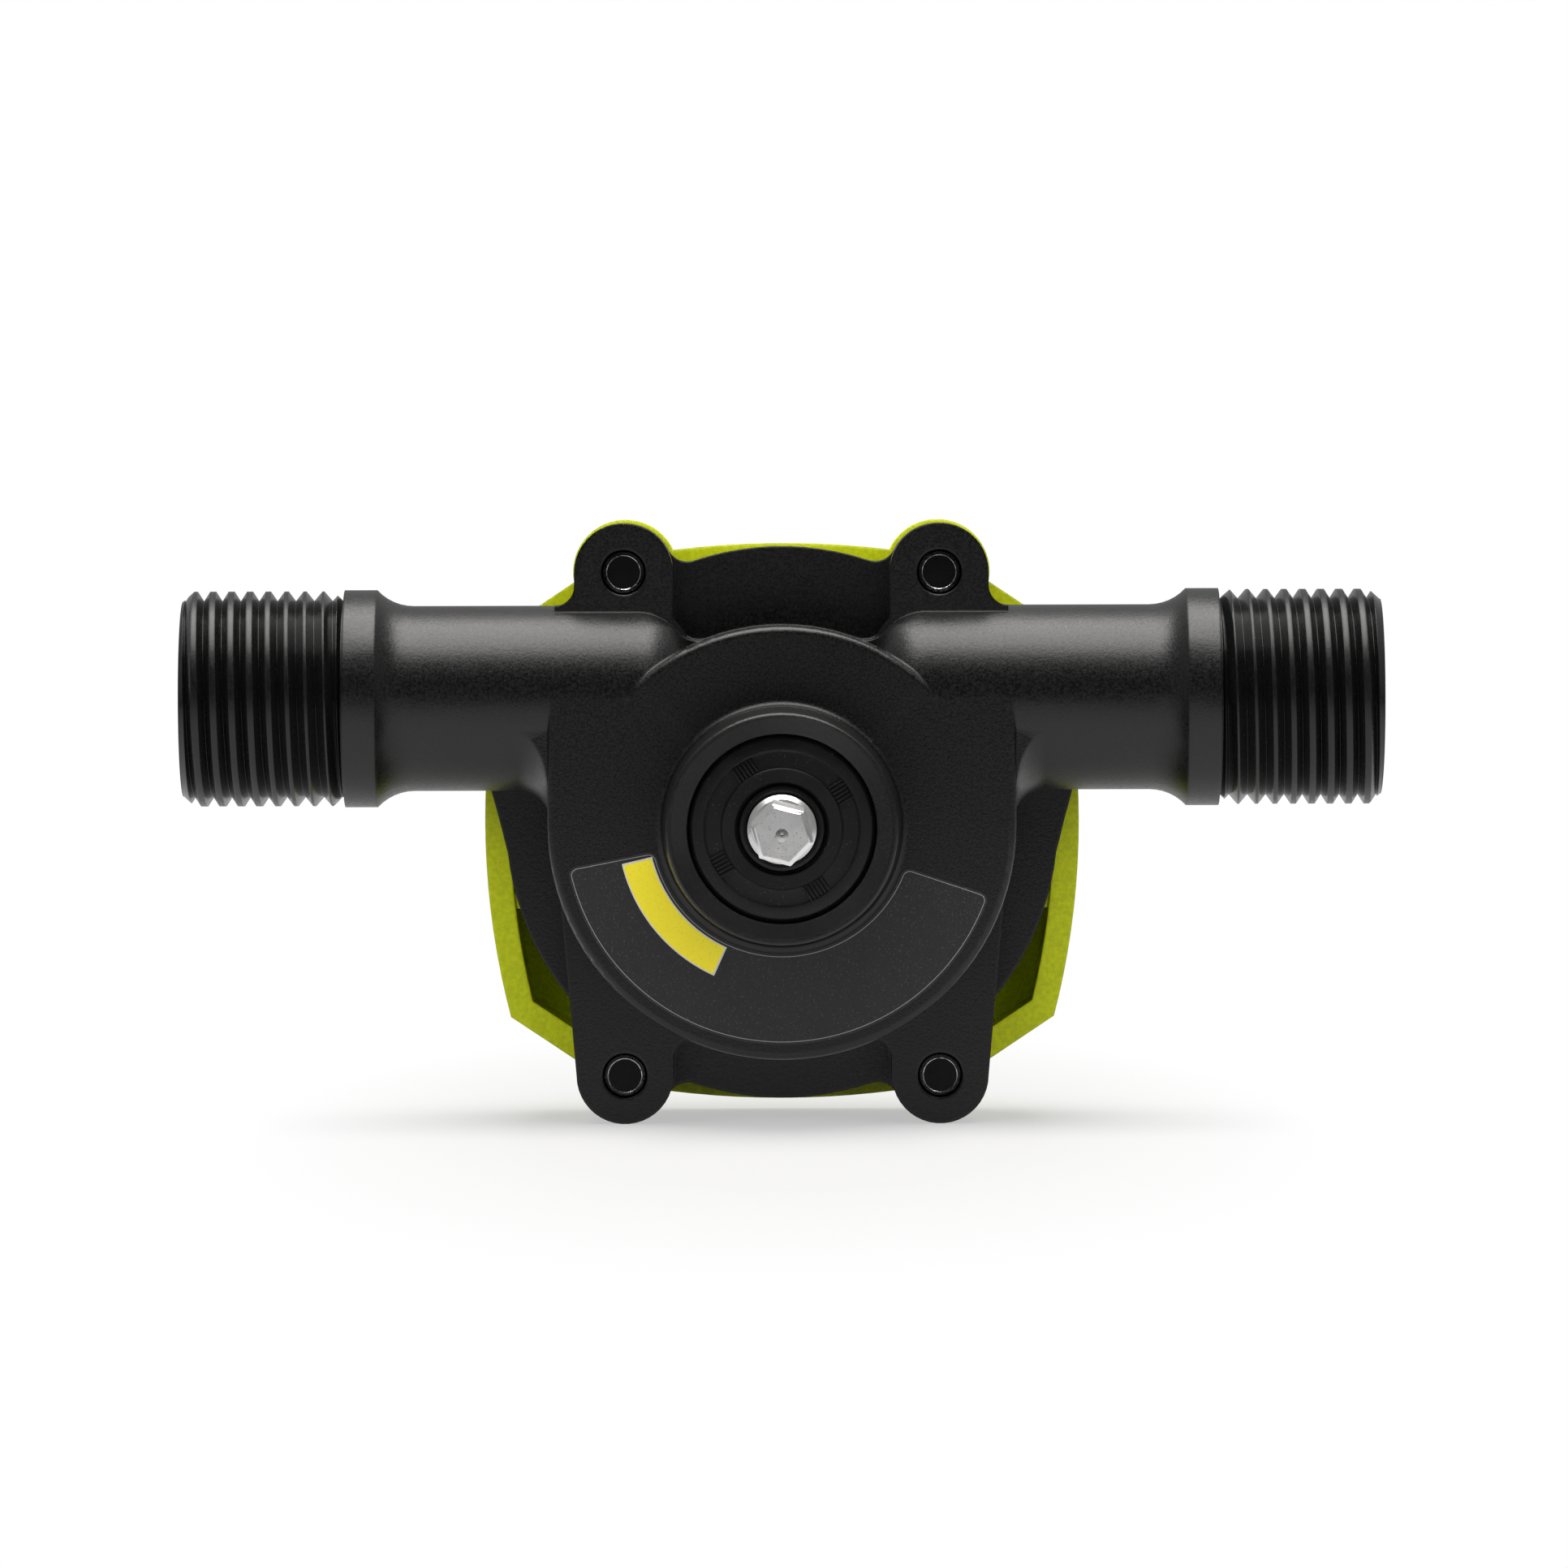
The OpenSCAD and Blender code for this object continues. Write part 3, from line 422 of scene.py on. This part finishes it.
def turned_face_steel(name):
    """The shaft's steel: milled flats, and rings from the facing cut about the shaft's axis."""
    finish, nodes, links, place, shader = start_finish(name)
    shader.inputs["Metallic"].default_value = 0.8
    radius = about_shaft(nodes, links, place)[1]
    ringed = add(nodes, "CombineXYZ")
    links.new(radius, ringed.inputs["X"])
    rings = noise(nodes, links, ringed.outputs["Vector"], 5200, 3, 0.7)
    milled_place = add(nodes, "Mapping")
    milled_place.inputs["Scale"].default_value = (1, 14, 1)
    links.new(place, milled_place.inputs["Vector"])
    milled = noise(nodes, links, milled_place.outputs["Vector"], 420, 4, 0.65)
    band = spread(nodes, links, noise(nodes, links, place, 340, 2), 0.42, 0.6, 0, 1)
    tone = blend_colours(nodes, links, band, (0.62, 0.62, 0.63), (0.72, 0.715, 0.705))
    pits = spread(nodes, links, noise(nodes, links, place, 3300, 2), 0.63, 0.72, 0, 0.6)
    stained = blend_colours(nodes, links, pits, tone, (0.12, 0.11, 0.1))
    links.new(stained, shader.inputs["Base Color"])
    links.new(spread(nodes, links, milled, 0.3, 0.7, 0.3, 0.48), shader.inputs["Roughness"])
    soft = add(nodes, "Bevel", samples=6)
    soft.inputs["Radius"].default_value = 0.12 * MM
    first = bump(nodes, links, rings, 0.03, 0.8, soft.outputs["Normal"])
    links.new(bump(nodes, links, milled, 0.008, 0.4, first), shader.inputs["Normal"])
    return finish


shaft_steel = turned_face_steel("shaft_steel")
shaft.data.materials.append(shaft_steel)
# The hex's bevelled edges and the shoulder face behind the hex take a lighter, brighter steel than the
# shaft: a painted highlight on the faces that turn forward.
painted_highlight_steel = machined_steel("painted_highlight_steel", (0.78, 0.78, 0.78), (0.9, 0.9, 0.89), 0.3, 900, (1, 1, 1))
shaft.data.materials.append(painted_highlight_steel)
for face in shaft.data.polygons:
    if face.normal.y < -0.5 and (face.normal.y > -0.85 or face.center.y > tip + 3 * MM):
        face.material_index = 1
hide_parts("drive_shaft")
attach(shaft, "rotor")

# The lip seal: nitrile rubber moulded over a steel case, pressed into the neck. Its front shows a
# dust lip, two stepped rings, four knurled pads left by the mould and an outer ring with a
# chamfer. The case and the garter spring are inside the rubber.
SEAL_OUTLINE = [(-12.25, 4.08), (-12.7, 4.2), (-12.92, 4.5), (-12.85, 4.85), (-12.5, 5.08), (-11.2, 5.12),
                (-11.2, 5.33), (-13.1, 5.36), (-13.28, 5.5), (-13.3, 6.9), (-13.2, 7.03), (-12.98, 7.1),
                (-12.95, 7.25), (-12.95, 8.85), (-13.05, 8.97), (-13.38, 9.02), (-13.5, 9.16), (-13.5, 10.3),
                (-13.4, 10.48), (-12.95, 10.86), (-12.7, 10.98), (-6.6, 10.98), (-6.52, 10.8), (-6.52, 9.6),
                (-7.2, 9.5), (-12.3, 9.3), (-12.3, 6.6), (-10.4, 6.3), (-9.2, 6.2), (-8.7, 5.6), (-9.4, 4.6),
                (-9.9, 4.08), (-10.4, 4.3), (-11.4, 4.6)]
seal = turned("seal_rubber", SEAL_OUTLINE, spot(0, 0, 0), "Y", 128)
seal_black = moulded_rubber("seal_black", (0.002, 0.0021, 0.0024), (0.0045, 0.0045, 0.0048), 0.42, 2300)
seal.data.materials.append(seal_black)
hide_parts("seal_body")
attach(seal, "housing")

PAD_RADIUS = 8.02
PAD_BARS = 6
BAR_SPACING = 0.47
BAR_SIZE = (1.9, 0.56, 0.26)
BAR_DEPTH = -13.02
pads = []
for angle in (32, 122, 210, 300):
    for line in range(PAD_BARS):
        bpy.ops.object.select_all(action="DESELECT")
        bpy.ops.mesh.primitive_cube_add(size=MM)
        bar = bpy.context.object
        bpy.ops.object.mode_set(mode="EDIT")
        bpy.ops.mesh.select_all(action="SELECT")
        bpy.ops.transform.resize(value=BAR_SIZE)
        bpy.ops.mesh.bevel(offset=0.09 * MM, segments=2, affect="EDGES")
        bpy.ops.object.mode_set(mode="OBJECT")
        across = (line - (PAD_BARS - 1) / 2) * BAR_SPACING
        turn = Matrix.Rotation(math.radians(-angle), 4, "Y")
        place = Matrix.Translation(spot(0, BAR_DEPTH, 0))
        bar.data.transform(place @ turn @ Matrix.Translation(Vector((PAD_RADIUS, 0, across)) * MM))
        pads.append(bar)
bpy.ops.object.select_all(action="DESELECT")
for bar in pads:
    bar.select_set(True)
bpy.context.view_layer.objects.active = pads[0]
bpy.ops.object.join()
knurls = bpy.context.object
knurls.name = "seal_knurls"
bpy.ops.object.shade_smooth_by_angle(angle=math.radians(30))
# The knurled pads take a darker rubber than the seal: painted shade for the shadow in their grooves.
knurl_painted_shade_black = moulded_rubber("knurl_painted_shade_black", (0.001, 0.001, 0.0012), (0.002, 0.002, 0.0022), 0.34, 2300)
knurls.data.materials.append(knurl_painted_shade_black)
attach(knurls, "housing")

case_steel = machined_steel("case_steel", (0.36, 0.36, 0.37), (0.5, 0.5, 0.5), 0.34, 900, (1, 6, 1))
spring_steel = machined_steel("spring_steel", (0.42, 0.42, 0.43), (0.58, 0.58, 0.58), 0.24, 2600, (1, 1, 1))
dress(case_steel, "seal_case")
dress(spring_steel, "seal_spring")

# The impeller: six rubber vanes moulded on a glass filled insert, which the cross pin drives.
# They fill the pump chamber, and the steel end plate closes it. The O-ring seals the plate.
impeller_rubber = moulded_rubber("impeller_rubber", (0.011, 0.011, 0.012), (0.02, 0.02, 0.021), 0.45, 1500)
oring_rubber = moulded_rubber("oring_rubber", (0.01, 0.01, 0.011), (0.016, 0.016, 0.017), 0.3, 2600)
insert_nylon = moulded_plastic("insert_nylon", (0.55, 0.52, 0.42), (0.68, 0.65, 0.55),
                               rough=0.45, grain=2400, depth=0.02, edge=0.15)
plate_steel = machined_steel("plate_steel", (0.44, 0.44, 0.45), (0.6, 0.6, 0.6), 0.22, 420, (1, 1, 22))
dress(impeller_rubber, "impeller")
dress(oring_rubber, "cover_oring")
dress(insert_nylon, "impeller_insert")
dress(plate_steel, "end_plate")

# The front cover: a lime green moulding of the same nylon, hollow behind, with ribs that press on
# the end plate and four ears under the screw heads. It is seen past the black housing.
cover = moulding_from("front_cover", "cover_moulding")
even_shading(cover, 30)
cover_lime = moulded_plastic("cover_lime", (0.51, 0.585, 0.002), (0.63, 0.71, 0.004),
                             rough=0.42, grain=1900, depth=0.03, edge=0.45, ior=1.38)
cover.data.materials.append(cover_lime)
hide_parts("front_cover")
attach(cover, "housing")

# The four cover screws: M5 socket head cap screws of blackened steel. They go in from the cover
# and end in the housing's ears, where the flat tips with their brighter chamfers can be seen.
SCREW_HEAD_TOP = 36.6
HEAD_RADIUS = 4.6
FLUTES = 36
FLUTE_RADIUS = 0.26
FLUTE_LENGTH = 2.2
FLUTE_MIDDLE = 34.95
SOCKET_RADIUS = 2.31
SOCKET_DEPTH = 3.2
SOCKET_MIDDLE = 35.6
CHAMFER_END = 8.8
TIP_FLAT = 1.9
blackened_steel = machined_steel("blackened_steel", (0.012, 0.012, 0.013), (0.03, 0.029, 0.03),
                                 0.46, 1800, (1, 3, 1))


def chipped_steel(name):
    """Blackened steel that is cut back to bare chips, as on the chamfer of a screw's end."""
    finish, nodes, links, place, shader = start_finish(name)
    shader.inputs["Metallic"].default_value = 1
    chips = spread(nodes, links, noise(nodes, links, place, 2300, 3, 0.7), 0.3, 0.52, 0, 1)
    tone = blend_colours(nodes, links, chips, (0.05, 0.05, 0.055), (0.72, 0.71, 0.7))
    links.new(tone, shader.inputs["Base Color"])
    links.new(spread(nodes, links, chips, 0, 1, 0.55, 0.3), shader.inputs["Roughness"])
    links.new(bump(nodes, links, chips, 0.05, 0.8), shader.inputs["Normal"])
    return finish


thread_end_steel = chipped_steel("thread_end_steel")


def socket_screw(name, x, rise):
    """One screw, with a fluted head and a hexagonal socket, whose axis is at x and rise."""
    outline = [(8.45, 0.0), (8.45, 1.95), (8.4, 2.03), (8.72, 2.4), (9.2, 2.4), (33.2, 2.43), (33.4, 2.6),
               (33.4, 4.45), (33.55, HEAD_RADIUS), (36.1, HEAD_RADIUS), (36.5, 4.25), (SCREW_HEAD_TOP, 4.0),
               (SCREW_HEAD_TOP, 0.0)]
    screw = turned(name, outline, spot(x, 0, rise), "Y", 48)
    lay = Matrix.Rotation(math.radians(90), 4, "X")
    arm = Matrix.Translation(Vector((HEAD_RADIUS + 0.18, 0, 0)) * MM)
    bpy.ops.object.select_all(action="DESELECT")
    bpy.ops.mesh.primitive_cylinder_add(vertices=24, radius=FLUTE_RADIUS * MM, depth=FLUTE_LENGTH * MM)
    flute = bpy.context.object
    tools = []
    for step in range(FLUTES):
        groove = flute.copy()
        groove.data = flute.data.copy()
        bpy.context.scene.collection.objects.link(groove)
        turn = Matrix.Rotation(math.radians(step * 360 / FLUTES), 4, "Y")
        groove.data.transform(Matrix.Translation(spot(x, FLUTE_MIDDLE, rise)) @ turn @ arm @ lay)
        tools.append(groove)
    bpy.data.objects.remove(flute)
    bpy.ops.object.select_all(action="DESELECT")
    bpy.ops.mesh.primitive_cylinder_add(vertices=6, radius=SOCKET_RADIUS * MM, depth=SOCKET_DEPTH * MM)
    socket = bpy.context.object
    socket.data.transform(Matrix.Translation(spot(x, SOCKET_MIDDLE, rise)) @ lay)
    tools.append(socket)
    bpy.ops.object.select_all(action="DESELECT")
    for tool in tools:
        tool.select_set(True)
    bpy.context.view_layer.objects.active = tools[0]
    bpy.ops.object.join()
    cut_with(screw, bpy.context.object, "DIFFERENCE")
    screw.data.materials.clear()
    screw.data.materials.append(blackened_steel)
    screw.data.materials.append(thread_end_steel)
    for face in screw.data.polygons:
        depth = face.center.y / MM + MIDDLE
        reach = math.hypot(face.center.x / MM - x, face.center.z / MM - SHAFT_HEIGHT - rise)
        if depth < CHAMFER_END and reach > TIP_FLAT:
            face.material_index = 1
    return screw


for name, x, rise in (("screw_upper_left", -18.55, 29.6), ("screw_upper_right", 18.55, 29.6),
                      ("screw_lower_left", -18.55, -29.6), ("screw_lower_right", 18.55, -29.6)):
    screw = socket_screw(name, x, rise)
    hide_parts("cover_screws")
    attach(screw, "housing")

# The face label: a printed vinyl sticker on the drum's face, an arc under the neck with rounded
# corners, a thin pale line painted inside its edge as a highlight of the sheet's edge, and a plain yellow
# field. The maker's words are left off it.
LABEL_IN = 15.0
LABEL_OUT = 25.6
LABEL_FROM = 191
LABEL_TO = 341.5
LABEL_CORNER = 1.1
LABEL_THICK = 0.12
FIELD_IN = 15.75
FIELD_OUT = 19.1
FIELD_FROM = 193.3
FIELD_TO = 245.5
BORDER = 0.15
# The inset of the pale line that is painted as a highlight of the sheet's edge, in millimetres.
EDGE_HIGHLIGHT_IN = 0.37
EDGE_HIGHLIGHT_OUT = 0.28
LABEL_OUTLINE = [(-LABEL_THICK, LABEL_IN), (0.0, LABEL_IN), (0.0, LABEL_OUT), (-LABEL_THICK, LABEL_OUT)]
label = turned("label_sticker", LABEL_OUTLINE, spot(0, 0, 0), "Y", 320, LABEL_TO - LABEL_FROM, LABEL_FROM)
for vertex in label.data.vertices:
    across = vertex.co.x / MM
    above = vertex.co.z / MM - SHAFT_HEIGHT
    radius = math.hypot(across, above)
    turn = math.degrees(math.atan2(above, across)) % 360
    left = math.radians(min(abs(turn - LABEL_FROM), abs(LABEL_TO - turn))) * radius
    if left < LABEL_CORNER:
        shift = LABEL_CORNER - math.sqrt(LABEL_CORNER ** 2 - (LABEL_CORNER - left) ** 2)
        shift = -shift if radius > (LABEL_IN + LABEL_OUT) / 2 else shift
        vertex.co.x *= (radius + shift) / radius
        vertex.co.z = (SHAFT_HEIGHT + above * (radius + shift) / radius) * MM


def sticker_vinyl(name):
    """Dark vinyl with a bordered yellow field along the label's arc, and a thin pale line inside its edge
    that is a painted highlight of the sheet's edge.
    """
    finish, nodes, links, place, shader = start_finish(name)
    parts, radius = about_shaft(nodes, links, place)

    def changed(value, amount, kind="ADD"):
        node = add(nodes, "Math", operation=kind)
        node.inputs[1].default_value = amount
        links.new(value, node.inputs[0])
        return node.outputs[0]

    def together(first, second):
        both = add(nodes, "Math", operation="MULTIPLY")
        links.new(first, both.inputs[0])
        links.new(second, both.inputs[1])
        return both.outputs[0]

    def inside(value, low, high):
        return together(changed(value, low, "GREATER_THAN"), changed(value, high, "LESS_THAN"))

    turn = add(nodes, "Math", operation="ARCTAN2")
    links.new(parts.outputs["X"], turn.inputs[0])
    links.new(changed(parts.outputs["Z"], -1, "MULTIPLY"), turn.inputs[1])
    angle = turn.outputs[0]
    field_from = math.radians(FIELD_FROM - 270)
    field_to = math.radians(FIELD_TO - 270)
    edge = 0.012
    field_arc = inside(angle, field_from + edge, field_to - edge)
    field = together(inside(radius, FIELD_IN * MM, FIELD_OUT * MM), field_arc)
    border_ring = inside(radius, (FIELD_IN - BORDER) * MM, (FIELD_OUT + BORDER) * MM)
    border = together(border_ring, inside(angle, field_from, field_to))
    corner = LABEL_CORNER * MM
    middle = (LABEL_IN + LABEL_OUT) / 2 * MM
    half = (LABEL_OUT - LABEL_IN) / 2 * MM
    middle_turn = math.radians((LABEL_FROM + LABEL_TO) / 2 - 270)
    half_turn = math.radians((LABEL_TO - LABEL_FROM) / 2)
    span = changed(changed(changed(angle, -middle_turn), 0, "ABSOLUTE"), -half_turn)
    over_end = changed(changed(together(span, radius), corner), 0, "MAXIMUM")
    over_side = changed(changed(changed(radius, -middle), 0, "ABSOLUTE"), corner - half)
    past = add(nodes, "CombineXYZ")
    links.new(over_end, past.inputs["X"])
    links.new(changed(over_side, 0, "MAXIMUM"), past.inputs["Y"])
    reach = add(nodes, "VectorMath", operation="LENGTH")
    links.new(past.outputs["Vector"], reach.inputs[0])
    # A thin pale line just inside the label's edge: a painted highlight of the sheet's edge.
    outline = inside(reach.outputs["Value"], corner - EDGE_HIGHLIGHT_IN * MM, corner - EDGE_HIGHLIGHT_OUT * MM)
    cloud = noise(nodes, links, place, 500, 3)
    vinyl = blend_colours(nodes, links, cloud, (0.0105, 0.0108, 0.0115), (0.0155, 0.0155, 0.016))
    ink = blend_colours(nodes, links, cloud, (0.84, 0.71, 0.015), (0.9, 0.77, 0.02))
    ground = blend_colours(nodes, links, outline, vinyl, (0.2, 0.2, 0.2))
    bordered = blend_colours(nodes, links, border, ground, (0.55, 0.55, 0.53))
    printed = blend_colours(nodes, links, field, bordered, ink)
    grain = noise(nodes, links, place, 4200, 2, 0.5)
    sparkle = spread(nodes, links, grain, 0.6, 0.7, 0, 0.22)
    links.new(blend_colours(nodes, links, sparkle, printed, (0.16, 0.16, 0.16)), shader.inputs["Base Color"])
    links.new(spread(nodes, links, grain, 0.3, 0.7, 0.36, 0.52), shader.inputs["Roughness"])
    links.new(bump(nodes, links, grain, 0.014, 0.5), shader.inputs["Normal"])
    return finish


label_vinyl = sticker_vinyl("label_vinyl")
label.data.materials.append(label_vinyl)
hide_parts("face_label")
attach(label, "housing")

# The studio: a pale floor that turns white away from the pump but takes its shadow, and that glows in
# reflections as a painted pool of light, brightest near the pump; one large soft box overhead, two weaker
# fills that no surface mirrors, and a room that is white to the camera and dark on its side in reflections.
bpy.ops.object.select_all(action="DESELECT")
bpy.ops.mesh.primitive_plane_add(size=30)
floor = bpy.context.object
floor.name = "studio_floor"
paper, nodes, links, place, shader = start_finish("studio_paper")
fibre = noise(nodes, links, place, 700, 3)
paper_tone = blend_colours(nodes, links, fibre, (0.45, 0.45, 0.45), (0.475, 0.475, 0.475))
links.new(paper_tone, shader.inputs["Base Color"])
shader.inputs["Roughness"].default_value = 0.75
shader.inputs["Specular IOR Level"].default_value = 0.1
stretched = add(nodes, "Mapping")
stretched.inputs["Scale"].default_value = (2.4, 0.6, 1)
links.new(place, stretched.inputs["Vector"])
shadow_reach = add(nodes, "VectorMath", operation="LENGTH")
links.new(stretched.outputs["Vector"], shadow_reach.inputs[0])
whiteness = spread(nodes, links, shadow_reach.outputs["Value"], 0.07, 0.15, 0.47, 1)
ray = add(nodes, "LightPath")
seen = add(nodes, "Math", operation="MAXIMUM")
links.new(ray.outputs["Is Camera Ray"], seen.inputs[0])
links.new(ray.outputs["Is Glossy Ray"], seen.inputs[1])
glow_share = add(nodes, "Math", operation="MULTIPLY")
links.new(seen.outputs[0], glow_share.inputs[0])
links.new(whiteness, glow_share.inputs[1])
distance = add(nodes, "VectorMath", operation="LENGTH")
links.new(place, distance.inputs[0])
# In reflections the floor glows, brightest near the pump and fading away from it: a painted pool of light,
# not light from the lamps.
painted_pool_glow = spread(nodes, links, distance.outputs["Value"], 0.12, 0.75, 0.92, 0.05)
strength = add(nodes, "Mix", data_type="FLOAT")
strength.inputs[3].default_value = 1
links.new(ray.outputs["Is Camera Ray"], strength.inputs[0])
links.new(painted_pool_glow, strength.inputs[2])
glow = add(nodes, "Emission")
links.new(strength.outputs[0], glow.inputs["Strength"])
mixed = add(nodes, "MixShader")
links.new(glow_share.outputs[0], mixed.inputs[0])
links.new(shader.outputs[0], mixed.inputs[1])
links.new(glow.outputs[0], mixed.inputs[2])
links.new(mixed.outputs[0], nodes["Material Output"].inputs["Surface"])
floor.data.materials.append(paper)


def soft_box(name, place, target, width, height, radiance, tint, mirrored):
    lamp = bpy.data.lights.new(name, "AREA")
    lamp.shape = "RECTANGLE"
    lamp.size = width
    lamp.size_y = height
    lamp.energy = radiance * math.pi * width * height
    lamp.color = tint
    holder = bpy.data.objects.new(name, lamp)
    bpy.context.scene.collection.objects.link(holder)
    holder.location = place
    holder.rotation_euler = (Vector(target) - Vector(place)).to_track_quat("-Z", "Y").to_euler()
    holder.visible_glossy = mirrored


soft_box("overhead_box", (0, -0.05, 1.1), (0, 0, 0.04), 1.05, 1.1, 5.9, (1, 0.985, 0.965), True)
soft_box("left_fill", (-0.8, -1.1, 0.5), (0, 0, 0.04), 0.9, 0.9, 2.5, (1, 1, 1), False)
soft_box("right_fill", (0.8, -1.1, 0.5), (0, 0, 0.04), 0.9, 0.9, 2.2, (1, 1, 1), False)

ROOM_LEVEL = 0.42
world = bpy.data.worlds.new("studio_room")
bpy.context.scene.world = world
world.use_nodes = True
nodes = world.node_tree.nodes
links = world.node_tree.links
room = nodes["Background"]
direction = add(nodes, "TexCoord").outputs["Generated"]
parts = add(nodes, "SeparateXYZ")
links.new(direction, parts.inputs["Vector"])
glossy_level = spread(nodes, links, parts.outputs["Y"], -0.9, 0.3, 0.03, ROOM_LEVEL)
ray = add(nodes, "LightPath")
level = add(nodes, "Mix", data_type="FLOAT")
level.inputs[2].default_value = ROOM_LEVEL
links.new(ray.outputs["Is Glossy Ray"], level.inputs[0])
links.new(glossy_level, level.inputs[3])
white = add(nodes, "Mix", data_type="FLOAT")
white.inputs[3].default_value = 1
links.new(ray.outputs["Is Camera Ray"], white.inputs[0])
links.new(level.outputs[0], white.inputs[2])
links.new(white.outputs[0], room.inputs["Strength"])
room.inputs["Color"].default_value = (1, 1, 1, 1)

lens = bpy.data.cameras.new("studio_camera")
lens.lens = 238.6
lens.sensor_width = 36
lens.clip_start = 0.1
lens.clip_end = 60
camera = bpy.data.objects.new("studio_camera", lens)
bpy.context.scene.collection.objects.link(camera)
camera.location = (0.00025, -1.21525, 0.069)
aim = Vector((0.00025, -0.01525, 0.0405)) - camera.location
camera.rotation_euler = aim.to_track_quat("-Z", "Y").to_euler()
CAMERA_ROLL = -0.15
camera.rotation_euler.rotate_axis("Z", math.radians(CAMERA_ROLL))
bpy.context.scene.camera = camera
bpy.context.scene.view_settings.view_transform = "Standard"

# The last line updates the scene.
bpy.context.view_layer.update()
